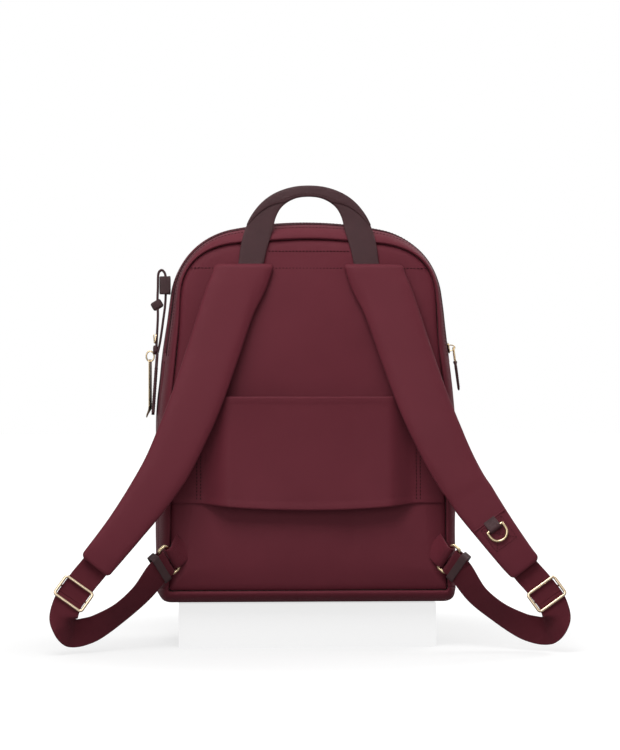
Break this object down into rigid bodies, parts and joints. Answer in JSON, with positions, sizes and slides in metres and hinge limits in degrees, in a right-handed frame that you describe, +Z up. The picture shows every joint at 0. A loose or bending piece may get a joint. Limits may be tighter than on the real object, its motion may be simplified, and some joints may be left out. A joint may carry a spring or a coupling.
{
  "type": "travel backpack",
  "caption": "Slim zipped backpack with padded straps on three-bar sliders, leather grab handle, trolley sleeve, front pocket and a leather luggage tag.",
  "frame": {"origin": "centre of the base's underside", "axes": "+Z up; +Y towards the front of the bag, so the harness is at -Y; +X to the right of someone who looks at the harness"},
  "size_m": [0.5122, 0.2245, 0.4569],
  "materials": {
    "nylon": "satin",
    "webbing": "matte",
    "lining": "satin",
    "foam": "matte",
    "board": "matte",
    "tape": "matte",
    "coil": "satin",
    "leather": "satin",
    "pull": "satin",
    "gold": "polished"
  },
  "bodies": {
    "bag": {"back_panel": "nylon", "back_foam": "foam", "back_board": "board", "back_gusset": "nylon", "side_gusset_left": "nylon", "side_gusset_right": "nylon", "base_panel": "nylon", "front_panel_lower": "nylon", "fold_gusset": "nylon", "fold_panel": "nylon", "zip_tape_back": "tape", "zip_coil_back": "coil", "lining_main": "lining", "lining_fold": "lining", "base_board": "board", "laptop_sleeve": "lining", "trolley_sleeve": "nylon", "front_pocket": "nylon", "pocket_zip_tape": "tape", "pocket_zip_coil": "coil", "corner_tab_left": "nylon", "corner_tab_right": "nylon", "strap_keeper_left": "leather", "strap_keeper_right": "leather"},
    "front_flap": {"front_panel_upper": "nylon", "front_gusset_upper": "nylon", "zip_coil_front": "coil", "zip_tape_front": "tape", "lining_upper": "lining", "side_loop": "leather"},
    "top_handle": {"top_handle": "leather"},
    "main_zip_slider": {"main_zip_slider": "gold"},
    "main_zip_pull": {"main_zip_pull": "pull"},
    "pocket_zip_slider": {"pocket_zip_slider": "gold"},
    "pocket_zip_pull": {"pocket_zip_pull": "pull"},
    "strap_left": {"strap_cover_left": "nylon", "strap_foam_left": "foam", "webbing_left": "webbing"},
    "strap_right": {"strap_cover_right": "nylon", "strap_foam_right": "foam", "webbing_right": "webbing", "d_ring_tab": "leather"},
    "slider_left": {"slider_left": "gold"},
    "slider_right": {"slider_right": "gold"},
    "ring_left": {"ring_left": "gold"},
    "ring_right": {"ring_right": "gold"},
    "d_ring": {"d_ring": "gold"},
    "luggage_tag": {"tag_strap": "leather", "tag_buckle": "gold", "tag_leather": "leather", "tag_ring": "gold"},
    "tag_plate": {"tag_plate": "gold"}
  },
  "joints": [
    {"name": "front_flap_hinge", "type": "hinge", "parent": "bag", "child": "front_flap", "pos_m": [0, -0.0445, 0.25], "axis": [-1, 0, 0], "range_deg": [0, 30], "deforming": ["fold_gusset", "fold_panel", "lining_fold"]},
    {"name": "main_zip_slide", "type": "slide", "parent": "bag", "child": "main_zip_slider", "axis": [-0.1305, 0, 0.9914], "range_m": [0, 0.045]},
    {"name": "main_zip_pull_swing", "type": "hinge", "parent": "main_zip_slider", "child": "main_zip_pull", "pos_m": [0.14847, -0.0445, 0.25739], "axis": [0, -1, 0], "range_deg": [0, 150]},
    {"name": "pocket_zip_slide", "type": "slide", "parent": "bag", "child": "pocket_zip_slider", "axis": [1, 0, 0], "range_m": [0, 0.18]},
    {"name": "pocket_zip_pull_swing", "type": "hinge", "parent": "pocket_zip_slider", "child": "pocket_zip_pull", "pos_m": [-0.091, 0.0925, 0.1473], "axis": [1, 0, 0], "range_deg": [0, 150]},
    {"name": "handle_tilt", "type": "hinge", "parent": "bag", "child": "top_handle", "pos_m": [0, -0.0743, 0.3435], "axis": [1, 0, 0], "range_deg": [0, 75], "stiffness_Nm_per_rad": 0.05},
    {"name": "strap_left_lift", "type": "hinge", "parent": "bag", "child": "strap_left", "pos_m": [-0.064, -0.0735, 0.341], "axis": [-1, 0, 0], "range_deg": [0, 15], "deforming": ["webbing_left"]},
    {"name": "strap_right_lift", "type": "hinge", "parent": "bag", "child": "strap_right", "pos_m": [0.064, -0.0735, 0.341], "axis": [-1, 0, 0], "range_deg": [0, 15], "deforming": ["webbing_right"]},
    {"name": "slider_left_slide", "type": "slide", "parent": "strap_left", "child": "slider_left", "axis": [-0.574, -0.1298, -0.8085], "range_m": [-0.006, 0.008], "deforming": ["webbing_left"]},
    {"name": "slider_right_slide", "type": "slide", "parent": "strap_right", "child": "slider_right", "axis": [0.574, -0.1298, -0.8085], "range_m": [-0.006, 0.008], "deforming": ["webbing_right"]},
    {"name": "ring_left_swing", "type": "hinge", "parent": "bag", "child": "ring_left", "pos_m": [-0.13585, -0.08409, 0.04911], "axis": [-0.4294, -0.5192, 0.7389], "range_deg": [-8, 8], "deforming": ["webbing_left"]},
    {"name": "ring_right_swing", "type": "hinge", "parent": "bag", "child": "ring_right", "pos_m": [0.13585, -0.08409, 0.04911], "axis": [0.4294, -0.5192, 0.7389], "range_deg": [-8, 8], "deforming": ["webbing_right"]},
    {"name": "d_ring_swing", "type": "hinge", "parent": "strap_right", "child": "d_ring", "pos_m": [0.18075, -0.12473, 0.07905], "axis": [-0.8108, -0.0001, -0.5853], "range_deg": [0, 150]},
    {"name": "tag_swing", "type": "hinge", "parent": "front_flap", "child": "luggage_tag", "pos_m": [-0.14, -0.015, 0.321], "axis": [1, 0, 0], "range_deg": [-20, 20]},
    {"name": "tag_plate_swing", "type": "hinge", "parent": "luggage_tag", "child": "tag_plate", "pos_m": [-0.15896, -0.015, 0.2434], "axis": [1, 0, 0], "range_deg": [-25, 25]}
  ]
}
